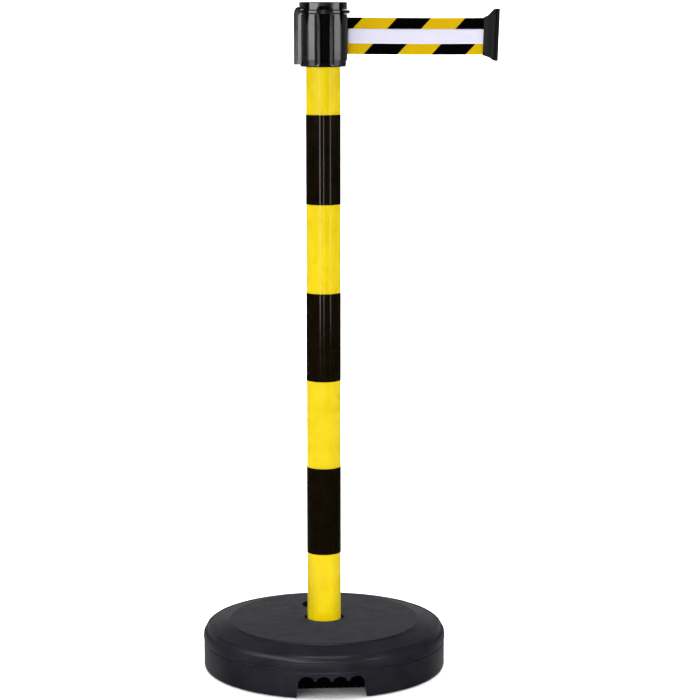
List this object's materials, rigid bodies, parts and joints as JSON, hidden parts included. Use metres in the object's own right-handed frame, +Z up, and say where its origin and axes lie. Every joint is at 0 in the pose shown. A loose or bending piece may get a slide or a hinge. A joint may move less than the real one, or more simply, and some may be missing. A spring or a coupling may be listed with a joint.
{
  "type": "retractable belt stanchion",
  "caption": "Crowd-control post with a striped tube, a fillable round base, and a cassette head whose hazard-striped belt pulls out and clips into a slot.",
  "frame": {"origin": "on the floor under the post's axis, at the middle of the base's underside", "axes": "+Z up the post, +X the way the belt is drawn out, -Y toward the hand grip in the base"},
  "size_m": [0.432, 0.358, 0.9724],
  "materials": {
    "hdpe": "satin",
    "sand": "matte",
    "cap_plastic": "satin",
    "rubber": "matte",
    "yellow_paint": "gloss",
    "black_film": "gloss",
    "nylon": "satin",
    "gloss_black": "gloss",
    "steel": "satin",
    "drum_plastic": "satin",
    "spring_steel": "satin",
    "webbing": "matte",
    "clip_plastic": "satin"
  },
  "bodies": {
    "base": {"base_shell": "hdpe", "base_ballast": "sand"},
    "plug": {"fill_plug": "cap_plastic", "plug_seal": "rubber"},
    "post": {"post_tube": "yellow_paint", "band_1": "black_film", "band_2": "black_film", "band_3": "black_film", "post_foot": "nylon", "head_plug": "nylon", "head_body": "gloss_black", "head_rim": "gloss_black", "top_cap": "gloss_black", "receiver_left": "gloss_black", "receiver_front": "gloss_black", "receiver_back": "gloss_black", "belt_mouth": "gloss_black", "arbor": "steel", "arbor_nut_top": "steel", "arbor_nut_bottom": "steel"},
    "spool": {"spool_drum": "drum_plastic", "spring_cover": "drum_plastic", "power_spring": "spring_steel", "belt_roll": "webbing"},
    "belt_end": {"belt_strip": "webbing", "clip_body": "clip_plastic", "clip_cover": "clip_plastic", "clip_pin": "steel"}
  },
  "joints": [
    {"name": "post_twist", "type": "hinge", "parent": "base", "child": "post", "pos_m": [0, 0, 0], "axis": [0, 0, 1], "range_deg": [0, 90]},
    {"name": "plug_pull", "type": "slide", "parent": "base", "child": "plug", "axis": [0, 0, 1], "range_m": [0, 0.04]},
    {"name": "belt_pull", "type": "slide", "parent": "post", "child": "belt_end", "axis": [1, 0, 0], "range_m": [-0.193, 1.905], "stiffness_N_per_m": 2, "springref_m": -4, "deforming": ["belt_strip"]},
    {"name": "spool_turn", "type": "hinge", "parent": "post", "child": "spool", "pos_m": [0, 0, 0], "axis": [0, 0, 1], "range_deg": [-560, 5470]}
  ],
  "couplings": [
    {"joint": "spool_turn", "follows": "belt_pull", "rad_per_m": 50}
  ]
}
